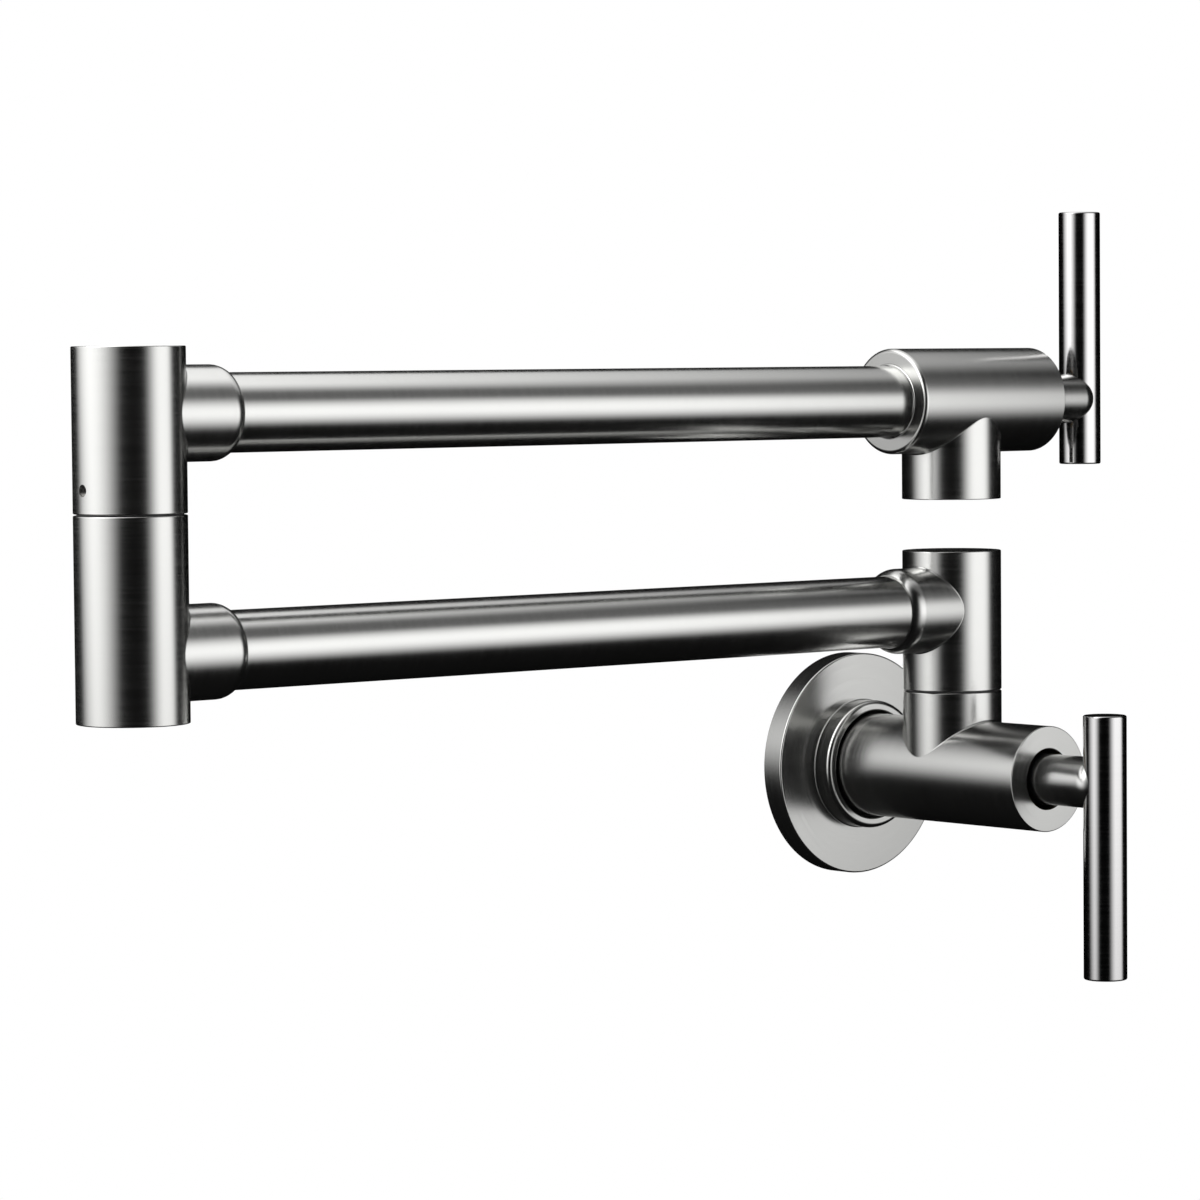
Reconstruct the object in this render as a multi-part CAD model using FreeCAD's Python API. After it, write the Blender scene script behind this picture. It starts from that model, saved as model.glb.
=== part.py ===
import FreeCAD, Part
import math
import os

# Wall-mounted pot filler: a folding tap with two arms, a valve at the wall and a valve at the outlet.
# Millimetres, +Z up. The wall is the plane y = 0 and the tap stands out from it towards -Y. The origin is the
# centre of the inlet at the wall. Both arms are folded along -X, with the outlet above the wall swivel.

# Reach, and the heights that stack up from the supply valve's axis
wall_to_swivel = 44.5
arm_length = 282.75
wall_seam_height = 23.25
boss_above_wall_seam = 11.15
elbow_seam_above_boss = 22.55
boss_above_elbow_seam = 12.45
column_past_boss = 4.6
outlet_below_barrel = 13.0

# Clearances
running_clearance = 0.05
thread_clearance = 0.03
braze_gap = 0.03
ring_gap = 0.03
ring_side_gap = 0.25
turning_gap = 0.05
screw_clearance = 0.3

# Arm tubes and the bosses that hold them
tube_bore = 17.0
tube_wall = 1.5
boss_wall = 2.0
boss_shoulder = 3.6
boss_end_land = 0.3
elbow_boss_past_column = 13.5
swivel_boss_past_column = 11.5
socket_depth = 9.0
socket_chamfer = 0.6

# Swivels
spigot_bore = 12.0
spigot_wall = 4.9
spigot_shoulder = 1.9
spigot_thread_length = 9.0
spigot_end_land = 2.1
column_wall = 3.05
column_edge = 0.3
bore_overrun = 1.0
washer_thickness = 0.35
washer_inset = 0.9
swivel_ring_section = 1.8
swivel_ring_offset = 3.9

# Grub screws
screw_diameter = 3.0
screw_key = 1.5
screw_key_depth = 1.2
screw_nose_step = 0.5
swivel_screw_height = 6.1
swivel_screw_inset = 1.0
retaining_groove_depth = 2.0

# Valve cartridges, with lengths along the axis from the seat towards the handle
disc_diameter = 15.6
disc_thickness = 3.5
disc_clearance = 0.1
disc_film = 0.02
moving_disc_clearance = 0.3
disc_land = 1.6
disc_port_inner = 4.6
disc_port_angle = 76.0
drive_slot_width = 2.6
drive_slot_depth = 1.4
seal_thickness = 2.0
seal_wall = 1.3
seal_stand_out = 0.6
cage_wall = 1.2
cage_window = 9.0
foot_thickness = 3.4
foot_gap = 0.2
water_gap = 1.0
cartridge_thread_length = 8.0
cartridge_flange = 2.5
hexagon_corner_gap = 1.1
cartridge_hexagon_height = 4.0
cartridge_neck_wall = 2.45
cartridge_neck_height = 2.0
cartridge_ring_section = 1.8
cartridge_ring_place = 2.2
spindle_diameter = 10.0
spindle_ring_section = 1.4
spindle_ring_places = (3.0, 7.0)
spindle_land = 0.8
clip_groove_depth = 0.8
clip_thickness = 1.0
clip_stand_out = 1.5
clip_mouth = 6.0
spline_shoulder = 1.0
spline_depth = 0.4
spline_count = 16
spline_engagement = 8.0

# Valve bodies
seat_to_port = 8.0
port_diameter = 12.0
seat_lip = 1.0
seat_ledge = 2.0
bonnet_step = 0.9
bonnet_depth = 5.0
bonnet_edge = 0.25
valve_rim = 1.8
valve_edge = 0.3
outlet_back_rounding = 1.2
supply_stem_room = 8.03
outlet_stem_room = 2.03
outlet_seat_wall = 7.5
inlet_thread = 19.8
inlet_thread_depth = 16.0

# Handles
stem_wall = 1.1
stem_gap = 1.4
stem_inner_length = 6.5
stem_showing = 15.5
stem_dome_past_bar = 2.7
stem_screw_place = 5.0
stem_screw_inset = 0.6
bar_diameter = 12.0
bar_long_side = 54.0
bar_short_side = 19.0
bar_edge = 0.5

# Wall flange
flange_thickness = 7.0
flange_plate = 3.0
flange_rim = 2.6
flange_edge = 0.5
hub_gap = 0.8
hub_wall = 2.9
hub_rise = 6.0
hub_rounding = 1.4
hub_ring_section = 2.0
hub_ring_place = 7.0
gasket_margin = 0.2
gasket_width = 10.5

# Aerator in the outlet
outlet_step = 0.8
outlet_wall = 3.0
aerator_depth = 9.0
aerator_recess = 0.8
aerator_wall = 1.8
aerator_lip = 0.9
aerator_lip_height = 1.0
aerator_washer_thickness = 1.6
aerator_washer_wall = 2.6
insert_height = 3.6
insert_edge = 0.67
insert_web = 0.6
insert_rings = 3

# Diameters that follow from the sizes above
tube_diameter = tube_bore + 2 * tube_wall
tube_socket = tube_diameter + 2 * braze_gap
boss_diameter = tube_diameter + 2 * boss_wall
spigot_diameter = spigot_bore + 2 * spigot_wall
spigot_thread = spigot_diameter - 2 * spigot_shoulder
swivel_bore = spigot_diameter + 2 * running_clearance
column_diameter = swivel_bore + 2 * column_wall
screw_nose = screw_diameter - 2 * screw_nose_step
spindle_bore = spindle_diameter + 2 * running_clearance
spline_diameter = spindle_diameter - 2 * spline_shoulder
clip_diameter = spindle_diameter + 2 * clip_stand_out
cartridge_neck = spindle_bore + 2 * cartridge_neck_wall
disc_port_outer = disc_diameter - 2 * disc_land
seal_bore = disc_diameter - 2 * seal_wall
seat_way = seal_bore - 2 * seat_lip
cage_bore = disc_diameter + 2 * disc_clearance
cage_diameter = cage_bore + 2 * cage_wall
moving_disc_diameter = cage_bore - 2 * moving_disc_clearance
chamber = cage_diameter + 2 * water_gap
counterbore = chamber + 2 * seat_ledge
cartridge_hexagon = (counterbore - 2 * hexagon_corner_gap) * math.sqrt(3) / 2
bonnet_thread = counterbore + 2 * bonnet_step
valve_diameter = bonnet_thread + 2 * valve_rim
stem_diameter = bar_diameter + 2 * stem_wall
bonnet_hole = stem_diameter + 2 * stem_gap
hub_bore = valve_diameter + 2 * hub_gap
hub_diameter = hub_bore + 2 * hub_wall
gasket_inner = hub_diameter + 2 * gasket_margin
gasket_outer = gasket_inner + 2 * gasket_width
flange_diameter = gasket_outer + 2 * gasket_margin + 2 * flange_rim
outlet_diameter = valve_diameter - 2 * outlet_step
aerator_diameter = outlet_diameter - 2 * outlet_wall

# Heights of the arms, seams and ends
lower_arm_height = wall_seam_height + boss_above_wall_seam + boss_diameter / 2
elbow_seam_height = lower_arm_height + boss_diameter / 2 + elbow_seam_above_boss
upper_arm_height = elbow_seam_height + boss_above_elbow_seam + boss_diameter / 2
column_end = boss_diameter / 2 + column_past_boss
outlet_lip = upper_arm_height - valve_diameter / 2 - outlet_below_barrel
spigot_ring_middle = washer_thickness / 2 + swivel_screw_height
spigot_rise = spigot_ring_middle + swivel_ring_offset + swivel_ring_section / 2 + spigot_end_land
swivel_ring_heights = (spigot_ring_middle - swivel_ring_offset, spigot_ring_middle + swivel_ring_offset)

# Places along a cartridge
moving_disc_start = seal_thickness + disc_thickness + disc_film
foot_start = moving_disc_start + disc_thickness
foot_end = foot_start + foot_thickness
cage_end = foot_end + foot_gap
cartridge_shoulder = cage_end + cartridge_thread_length
hexagon_start = cartridge_shoulder + cartridge_flange
hexagon_end = hexagon_start + cartridge_hexagon_height
neck_end = hexagon_end + cartridge_neck_height
clip_start = neck_end + turning_gap
clip_end = clip_start + clip_thickness
land_end = clip_end + spindle_land
supply_face = land_end + supply_stem_room + stem_inner_length
outlet_face = land_end + outlet_stem_room + stem_inner_length
handle_reach = stem_showing + bar_diameter / 2

# Places in the whole tap
V = FreeCAD.Vector
seat_from_wall = wall_to_swivel - seat_to_port
outlet_valve_back = seat_to_port + outlet_seat_wall + socket_depth
elbow_boss_reach = column_diameter / 2 + elbow_boss_past_column
swivel_boss_reach = column_diameter / 2 + swivel_boss_past_column
swivel_axis = V(0, -wall_to_swivel, 0)
elbow_axis = V(-arm_length, -wall_to_swivel, 0)
outlet_centre = V(0, -wall_to_swivel, upper_arm_height)
origin = V(0, 0, 0)
right, left = V(1, 0, 0), V(-1, 0, 0)
up, down = V(0, 0, 1), V(0, 0, -1)
from_wall = V(0, -1, 0)


# Shared shapes
def rod(start, end, diameter):
    """A round bar between two points."""
    along = end - start
    return Part.makeCylinder(diameter / 2, along.Length, start, along)


def outline_edges(corners):
    """Edges of a closed outline in the XZ plane. A corner is (x, z), or (x, z, rounding) for an arc there."""
    stretches = []
    for index, corner in enumerate(corners):
        point = V(corner[0], 0, corner[1])
        if len(corner) == 2:
            stretches.append((point, None, point))
            continue
        before = corners[index - 1]
        after = corners[(index + 1) % len(corners)]
        back = (V(before[0], 0, before[1]) - point).normalize()
        ahead = (V(after[0], 0, after[1]) - point).normalize()
        half_angle = back.getAngle(ahead) / 2
        tangent = corner[2] / math.tan(half_angle)
        middle = (back + ahead).normalize() * (corner[2] / math.sin(half_angle) - corner[2])
        stretches.append((point + back * tangent, point + middle, point + ahead * tangent))
    edges = []
    for index, (start, middle, end) in enumerate(stretches):
        if middle:
            edges.append(Part.Arc(start, middle, end).toShape())
        following = stretches[(index + 1) % len(stretches)][0]
        if following.distanceToPoint(end) > 1e-6:
            edges.append(Part.makeLine(end, following))
    return edges


def turned(corners, sweep=360):
    """A solid turned about +Z from an outline of (radius, height) corners."""
    face = Part.Face(Part.Wire(outline_edges(corners)))
    solid = face.revolve(origin, up, sweep)
    if solid.Volume < 0:
        solid.reverse()
    return solid


def ring(outer, inner, bottom, top, sweep=360):
    """A flat ring about +Z, or a sector of one from the +X direction onwards."""
    corners = [(inner / 2, bottom), (outer / 2, bottom), (outer / 2, top), (inner / 2, top)]
    return turned(corners, sweep)


def prism(points, bottom, top):
    """An upright prism from its plan points."""
    corners = [V(x, y, bottom) for x, y in points]
    face = Part.Face(Part.makePolygon(corners + corners[:1]))
    return face.extrude(V(0, 0, top - bottom))


def hexagon(across_flats, bottom, top):
    """A hexagonal prism about +Z."""
    corner = across_flats / math.sqrt(3)
    angles = [math.radians(60 * step) for step in range(6)]
    return prism([(corner * math.cos(a), corner * math.sin(a)) for a in angles], bottom, top)


def spline_shaft(clearance, bottom, top):
    """A toothed shaft about +Z, grown all round by a clearance."""
    points = []
    for step in range(2 * spline_count):
        radius = spline_diameter / 2 + clearance - spline_depth * (step % 2)
        angle = math.pi * step / spline_count
        points.append((radius * math.cos(angle), radius * math.sin(angle)))
    return prism(points, bottom, top)


def seal_ring(bore, section, height):
    """An O-ring on a shaft, just clear of the bore round it."""
    return Part.makeTorus(bore / 2 - ring_gap - section / 2, section / 2, V(0, 0, height))


def seal_groove(bore, section, height):
    """The groove in the shaft for such an O-ring."""
    half = section / 2 + ring_side_gap
    floor = bore - 4 * ring_gap - 2 * section
    return ring(bore + section, floor, height - half, height + half)


def grub_screw(inner, outer, nose_end):
    """A socket screw along +X, threaded between two distances from the axis, with a thin nose to nose_end."""
    screw = rod(V(inner, 0, 0), V(outer, 0, 0), screw_diameter - 2 * thread_clearance)
    nose = rod(V(nose_end, 0, 0), V(inner, 0, 0), screw_nose)
    key = hexagon(screw_key, outer - screw_key_depth, outer + screw_key_depth)
    return screw.fuse(nose).cut(key.rotated(origin, V(0, 1, 0), 90))


def placed(shape, place, outward, long_side):
    """Puts a shape made along +Z, with its long side along +X, at its place."""
    turn = FreeCAD.Rotation(long_side, outward.cross(long_side), outward, "ZXY")
    moved = shape.copy()
    moved.Placement = FreeCAD.Placement(place, turn).multiply(shape.Placement)
    return moved


# Wall flange
def flange():
    bore = hub_bore / 2
    hub = hub_diameter / 2
    rim = flange_diameter / 2
    recess = flange_thickness - flange_plate
    hub_front = flange_thickness + hub_rise
    groove_half = hub_ring_section / 2 + ring_side_gap
    groove_floor = valve_diameter / 2 + hub_ring_section + 2 * ring_gap
    return turned([
        (bore, 0), (hub, 0), (hub, recess), (rim - flange_rim, recess), (rim - flange_rim, 0), (rim, 0),
        (rim, flange_thickness, flange_edge), (hub, flange_thickness), (hub, hub_front, hub_rounding),
        (bore, hub_front, flange_edge), (bore, hub_ring_place + groove_half),
        (groove_floor, hub_ring_place + groove_half), (groove_floor, hub_ring_place - groove_half),
        (bore, hub_ring_place - groove_half)])


def flange_gasket():
    return ring(gasket_outer, gasket_inner, 0, flange_thickness - flange_plate)


def flange_seal_ring():
    middle = valve_diameter / 2 + ring_gap + hub_ring_section / 2
    return Part.makeTorus(middle, hub_ring_section / 2, V(0, 0, hub_ring_place))


# Valve bodies
def valve_cavity(face):
    """The stepped bore of a valve body, from its seat out through its front face."""
    ledge = face - bonnet_depth
    past_face = face + bonnet_depth
    return turned([
        (0, 0), (chamber / 2, 0), (chamber / 2, cartridge_shoulder), (counterbore / 2, cartridge_shoulder),
        (counterbore / 2, ledge), (bonnet_thread / 2, ledge), (bonnet_thread / 2, past_face), (0, past_face)])


def valve_barrel(back, face, back_rounding):
    """The outside of a valve body: a plain cylinder with a slightly broken edge at its front."""
    radius = valve_diameter / 2
    return turned([(0, back), (radius, back, back_rounding), (radius, face, valve_edge), (0, face)])


def supply_valve_body():
    stub_top = swivel_axis + up * (wall_seam_height - washer_thickness / 2)
    thread_end = stub_top - up * spigot_thread_length
    body = at_supply(valve_barrel(-seat_from_wall, supply_face, valve_edge))
    body = body.fuse(rod(swivel_axis, stub_top, column_diameter)).removeSplitter()
    body = body.cut(at_supply(valve_cavity(supply_face)))
    body = body.cut(rod(origin, from_wall * inlet_thread_depth, inlet_thread))
    body = body.cut(rod(origin, from_wall * seat_from_wall, seat_way))
    body = body.cut(rod(swivel_axis, thread_end, port_diameter))
    return body.cut(rod(thread_end, stub_top, spigot_thread))


def outlet_valve_body():
    back = outlet_centre + left * outlet_valve_back
    socket_end = back + right * socket_depth
    seat = outlet_centre + left * seat_to_port
    lip = swivel_axis + up * outlet_lip
    mouth = Part.makeCone(tube_socket / 2 + socket_chamfer, tube_socket / 2, socket_chamfer, back, right)
    body = at_outlet(valve_barrel(seat_to_port - outlet_valve_back, outlet_face, outlet_back_rounding))
    body = body.fuse(rod(outlet_centre, lip, outlet_diameter)).removeSplitter()
    body = body.cut(at_outlet(valve_cavity(outlet_face)))
    body = body.cut(rod(back, socket_end, tube_socket)).cut(mouth)
    body = body.cut(rod(socket_end, seat, seat_way))
    body = body.cut(rod(outlet_centre, lip, port_diameter))
    return body.cut(rod(lip, lip + up * aerator_depth, aerator_diameter))


def at_supply(shape):
    """Moves a piece from the frame of its seat to the supply valve, long side down."""
    return placed(shape, from_wall * seat_from_wall, from_wall, down)


def at_outlet(shape):
    """Moves a piece from the frame of its seat to the outlet valve, long side up."""
    return placed(shape, outlet_centre + left * seat_to_port, right, up)


# Cartridge and handle pieces, each in the frame of its seat
def cartridge_body():
    """A windowed cage round the discs, a thread, a flange with a hexagon and a neck round the spindle."""
    thread = chamber / 2 - thread_clearance
    flange_radius = counterbore / 2 - thread_clearance
    neck = cartridge_neck / 2
    body = turned([
        (cage_bore / 2, seal_stand_out), (cage_diameter / 2, seal_stand_out), (cage_diameter / 2, cage_end),
        (thread, cage_end), (thread, cartridge_shoulder), (flange_radius, cartridge_shoulder),
        (flange_radius, hexagon_start), (neck, hexagon_start), (neck, neck_end), (spindle_bore / 2, neck_end),
        (spindle_bore / 2, cage_end), (cage_bore / 2, cage_end)])
    grip = hexagon(cartridge_hexagon, hexagon_start, hexagon_end)
    body = body.fuse(grip.cut(rod(up * hexagon_start, up * hexagon_end, cartridge_neck))).removeSplitter()
    body = body.cut(seal_groove(chamber, cartridge_ring_section, cage_end + cartridge_ring_place))
    window_corner = V(-cage_diameter, -cage_window / 2, moving_disc_start)
    return body.cut(Part.makeBox(2 * cage_diameter, cage_window, disc_thickness, window_corner))


def cartridge_seal_ring():
    return seal_ring(chamber, cartridge_ring_section, cage_end + cartridge_ring_place)


def seat_seal():
    return ring(disc_diameter, seal_bore, 0, seal_thickness)


def port_pair(outer, bottom, top, middle_angle):
    """Two opposite sector-shaped water ways through a disc."""
    first = ring(outer, disc_port_inner, bottom, top, disc_port_angle)
    turns = [middle_angle - disc_port_angle / 2 + half_turn for half_turn in (0, 180)]
    return [first.rotated(origin, up, turn) for turn in turns]


def fixed_disc():
    top = seal_thickness + disc_thickness
    disc = rod(up * seal_thickness, up * top, disc_diameter)
    return disc.cut(port_pair(disc_port_outer, seal_thickness, top, 0))


def drive_tongue(clearance):
    """The bar across the spindle's foot that turns the moving disc."""
    width = drive_slot_width + 2 * clearance
    corner = V(-moving_disc_diameter, -width / 2, foot_start - drive_slot_depth - clearance)
    return Part.makeBox(2 * moving_disc_diameter, width, drive_slot_depth + clearance, corner)


def moving_disc():
    disc = rod(up * moving_disc_start, up * foot_start, moving_disc_diameter)
    disc = disc.cut(port_pair(2 * moving_disc_diameter, moving_disc_start, foot_start, 90))
    return disc.cut(drive_tongue(running_clearance))


def spindle(face):
    """A foot that turns the disc, a shaft through the cartridge and a toothed end for the handle."""
    foot = moving_disc_diameter / 2
    shaft = spindle_diameter / 2
    neck = shaft - clip_groove_depth
    body = turned([
        (0, foot_start), (foot, foot_start), (foot, foot_end), (shaft, foot_end), (shaft, clip_start),
        (neck, clip_start), (neck, clip_end), (shaft, clip_end), (shaft, land_end), (0, land_end)])
    for place in spindle_ring_places:
        body = body.cut(seal_groove(spindle_bore, spindle_ring_section, cage_end + place))
    tongue = drive_tongue(0).common(rod(up * moving_disc_start, up * foot_start, moving_disc_diameter))
    toothed_end = spline_shaft(0, land_end, face + spline_engagement)
    return body.fuse([tongue, toothed_end]).removeSplitter()


def spindle_seal_rings():
    rings = [seal_ring(spindle_bore, spindle_ring_section, cage_end + place) for place in spindle_ring_places]
    return Part.makeCompound(rings)


def spindle_clip():
    """An open snap ring in the spindle's groove."""
    inner = spindle_diameter - 2 * clip_groove_depth + 2 * ring_gap
    clip = ring(clip_diameter, inner, clip_start, clip_end)
    mouth = Part.makeBox(clip_diameter, clip_mouth, clip_thickness, V(0, -clip_mouth / 2, clip_start))
    return clip.cut(mouth)


def bonnet(face):
    """The ring that closes the valve's front, flush with the body, with a hole for the handle's stem."""
    outer = bonnet_thread / 2 - thread_clearance
    inner = bonnet_hole / 2
    back = face - bonnet_depth
    return turned([(inner, back), (outer, back), (outer, face), (inner, face, bonnet_edge)])


def handle_stem(face):
    """A round stem with a domed end, cut for the cross bar, the spindle's teeth and the grub screw."""
    radius = stem_diameter / 2
    inner_end = face - stem_inner_length
    bar_place = face + handle_reach
    tip = bar_place + stem_dome_past_bar
    screw_place = up * (face + stem_screw_place)
    stem = turned([(0, inner_end), (radius, inner_end), (radius, tip, radius), (0, tip)])
    bar_hole = bar_diameter + 2 * braze_gap
    stem = stem.cut(rod(V(-stem_diameter, 0, bar_place), V(stem_diameter, 0, bar_place), bar_hole))
    stem = stem.cut(spline_shaft(running_clearance, inner_end, face + spline_engagement + running_clearance))
    return stem.cut(rod(screw_place, screw_place + right * stem_diameter, screw_diameter))


def handle_bar(face):
    radius = bar_diameter / 2
    bar = turned([
        (0, -bar_short_side), (radius, -bar_short_side, bar_edge), (radius, bar_long_side, bar_edge),
        (0, bar_long_side)])
    return bar.rotated(origin, V(0, 1, 0), 90).translated(up * (face + handle_reach))


def handle_screw(face):
    tip = spline_diameter / 2 + running_clearance
    screw = grub_screw(tip + running_clearance, stem_diameter / 2 - stem_screw_inset, tip)
    return screw.translated(up * (face + stem_screw_place))


# Swivels and arm columns
def spigot(axis, seam):
    """A hollow pin screwed into the piece below a seam, on which the column above turns."""
    stub_top = seam - washer_thickness / 2
    top = stub_top + spigot_rise
    bore = spigot_bore / 2
    thread = spigot_thread / 2 - thread_clearance
    outside = spigot_diameter / 2
    pin = turned([
        (bore, stub_top - spigot_thread_length), (thread, stub_top - spigot_thread_length), (thread, stub_top),
        (outside, stub_top), (outside, top), (bore, top)])
    for height in swivel_ring_heights:
        pin = pin.cut(seal_groove(swivel_bore, swivel_ring_section, stub_top + height))
    groove_half = screw_nose / 2 + screw_clearance
    groove_middle = seam + swivel_screw_height
    pin = pin.cut(ring(column_diameter, spigot_diameter - 2 * retaining_groove_depth,
                       groove_middle - groove_half, groove_middle + groove_half))
    return pin.translated(axis)


def spigot_seal_rings(axis, seam):
    stub_top = seam - washer_thickness / 2
    rings = [seal_ring(swivel_bore, swivel_ring_section, stub_top + height) for height in swivel_ring_heights]
    return Part.makeCompound([each.translated(axis) for each in rings])


def seam_washer(axis, seam):
    outer = column_diameter - 2 * washer_inset
    return ring(outer, swivel_bore, seam - washer_thickness / 2, seam + washer_thickness / 2).translated(axis)


def arm_boss(reach):
    """A boss whose end curves in to a narrow flat ring round the arm tube."""
    radius = boss_diameter / 2
    end_radius = tube_diameter / 2 + boss_end_land
    drop = radius - end_radius
    curve = (drop ** 2 + boss_shoulder ** 2) / (2 * drop)
    swing = math.asin(boss_shoulder / curve)
    corner = reach - boss_shoulder + curve * math.tan(swing / 2)
    return turned([(0, 0), (radius, 0), (radius, corner, curve), (end_radius, reach), (0, reach)])


def column_with_boss(axis, bottom, top, arm_height, boss_reach, side):
    """An upright cylinder with a round-shouldered boss on one side, bored for the arm tube."""
    radius = column_diameter / 2
    arm_start = axis + up * arm_height
    column = turned([(0, bottom), (radius, bottom, column_edge), (radius, top, column_edge), (0, top)])
    boss = arm_boss(boss_reach)
    body = column.translated(axis).fuse(placed(boss, arm_start, side, up)).removeSplitter()
    socket_end = arm_start + side * (boss_reach - socket_depth)
    body = body.cut(rod(arm_start, socket_end, tube_bore))
    return body.cut(rod(socket_end, arm_start + side * boss_reach, tube_socket))


def turning_column(axis, seam, arm_height, boss_reach, side):
    """A column that turns on a spigot, closed at the top, with its grub screw's hole opposite the boss."""
    bottom = seam + washer_thickness / 2 + turning_gap
    bore_end = arm_height + tube_bore / 2 + bore_overrun
    screw_place = axis + up * (seam + swivel_screw_height)
    body = column_with_boss(axis, bottom, arm_height + column_end, arm_height, boss_reach, side)
    body = body.cut(rod(axis + up * bottom, axis + up * bore_end, swivel_bore))
    return body.cut(rod(screw_place, screw_place - side * column_diameter, screw_diameter))


def lower_elbow():
    """The fixed half of the elbow, closed at the bottom and threaded at the top for the elbow's spigot."""
    top = elbow_seam_height - washer_thickness / 2
    thread_end = elbow_axis + up * (top - spigot_thread_length)
    bore_end = elbow_axis + up * (lower_arm_height - tube_bore / 2 - bore_overrun)
    body = column_with_boss(elbow_axis, lower_arm_height - column_end, top, lower_arm_height, elbow_boss_reach, right)
    body = body.cut(rod(thread_end, elbow_axis + up * top, spigot_thread))
    return body.cut(rod(bore_end, thread_end, tube_bore))


def swivel_screw(axis, seam, side):
    """The grub screw that keeps a column on its spigot: its nose runs in the spigot's groove."""
    nose_end = spigot_diameter / 2 - retaining_groove_depth + screw_clearance
    screw = grub_screw(swivel_bore / 2 + screw_clearance, column_diameter / 2 - swivel_screw_inset, nose_end)
    turn = 0 if side == right else 180
    return screw.rotated(origin, up, turn).translated(axis + up * (seam + swivel_screw_height))


def arm_tube(start, end, height):
    ends = [V(x, -wall_to_swivel, height) for x in (start, end)]
    return rod(*ends, tube_diameter).cut(rod(*ends, tube_bore))


# Aerator
def aerator_pieces():
    """The aerator's housing, its flow straightener and the washer above it."""
    bottom = outlet_lip + aerator_recess
    roof = outlet_lip + aerator_depth
    top = roof - aerator_washer_thickness
    ledge = bottom + aerator_lip_height
    outer = aerator_diameter / 2 - thread_clearance
    inner = outer - aerator_wall
    housing = turned([
        (inner - aerator_lip, bottom), (outer, bottom), (outer, top), (inner, top), (inner, ledge),
        (inner - aerator_lip, ledge)])
    insert_radius = inner - running_clearance
    insert_pitch = (insert_radius - insert_edge + insert_web / 2) / (insert_rings + 0.5)
    insert_hole = insert_pitch - insert_web
    insert = rod(up * ledge, up * (ledge + insert_height), 2 * insert_radius)
    holes = []
    for row in range(-insert_rings, insert_rings + 1):
        for step in range(-insert_rings, insert_rings + 1):
            if abs(row + step) > insert_rings:
                continue
            middle = V(insert_pitch * (step + row / 2), insert_pitch * row * math.sqrt(3) / 2, ledge)
            holes.append(rod(middle, middle + up * insert_height, insert_hole))
    washer = ring(2 * outer, 2 * (outer - aerator_washer_wall), top, roof)
    return [shape.translated(swivel_axis) for shape in (housing, insert.cut(holes), washer)]


# Every piece by its node's name
pieces = {
    "wall_flange": placed(flange(), origin, from_wall, down),
    "flange_gasket": placed(flange_gasket(), origin, from_wall, down),
    "flange_seal_ring": placed(flange_seal_ring(), origin, from_wall, down),
    "supply_valve_body": supply_valve_body(),
    "outlet_valve_body": outlet_valve_body(),
    "lower_elbow": lower_elbow(),
}
for name, put, face in (("supply", at_supply, supply_face), ("outlet", at_outlet, outlet_face)):
    pieces[name + "_cartridge_body"] = put(cartridge_body())
    pieces[name + "_cartridge_seal_ring"] = put(cartridge_seal_ring())
    pieces[name + "_seat_seal"] = put(seat_seal())
    pieces[name + "_fixed_disc"] = put(fixed_disc())
    pieces[name + "_moving_disc"] = put(moving_disc())
    pieces[name + "_spindle"] = put(spindle(face))
    pieces[name + "_spindle_seal_rings"] = put(spindle_seal_rings())
    pieces[name + "_spindle_clip"] = put(spindle_clip())
    pieces[name + "_bonnet"] = put(bonnet(face))
    pieces[name + "_handle_stem"] = put(handle_stem(face))
    pieces[name + "_handle_bar"] = put(handle_bar(face))
    pieces[name + "_handle_screw"] = put(handle_screw(face))
for name, axis, seam in (("wall", swivel_axis, wall_seam_height), ("elbow", elbow_axis, elbow_seam_height)):
    pieces[name + "_spigot"] = spigot(axis, seam)
    pieces[name + "_spigot_seal_rings"] = spigot_seal_rings(axis, seam)
    pieces[name + "_seam_washer"] = seam_washer(axis, seam)
pieces["swivel_column"] = turning_column(swivel_axis, wall_seam_height, lower_arm_height, swivel_boss_reach, left)
pieces["swivel_screw"] = swivel_screw(swivel_axis, wall_seam_height, right)
pieces["upper_elbow"] = turning_column(elbow_axis, elbow_seam_height, upper_arm_height, elbow_boss_reach, right)
pieces["elbow_screw"] = swivel_screw(elbow_axis, elbow_seam_height, left)
tube_start = elbow_boss_reach - socket_depth - arm_length
pieces["lower_arm_tube"] = arm_tube(tube_start, socket_depth - swivel_boss_reach, lower_arm_height)
pieces["upper_arm_tube"] = arm_tube(tube_start, socket_depth - outlet_valve_back, upper_arm_height)
pieces["aerator_housing"], pieces["aerator_insert"], pieces["aerator_washer"] = aerator_pieces()

os.makedirs("parts", exist_ok=True)
for name, shape in pieces.items():
    shape.exportStep("parts/%s.step" % name)
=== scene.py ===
"""Looks of the folding pot filler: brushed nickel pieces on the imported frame, in a small studio."""
import math

import bpy
import numpy as np
from mathutils import Matrix, Vector


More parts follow.
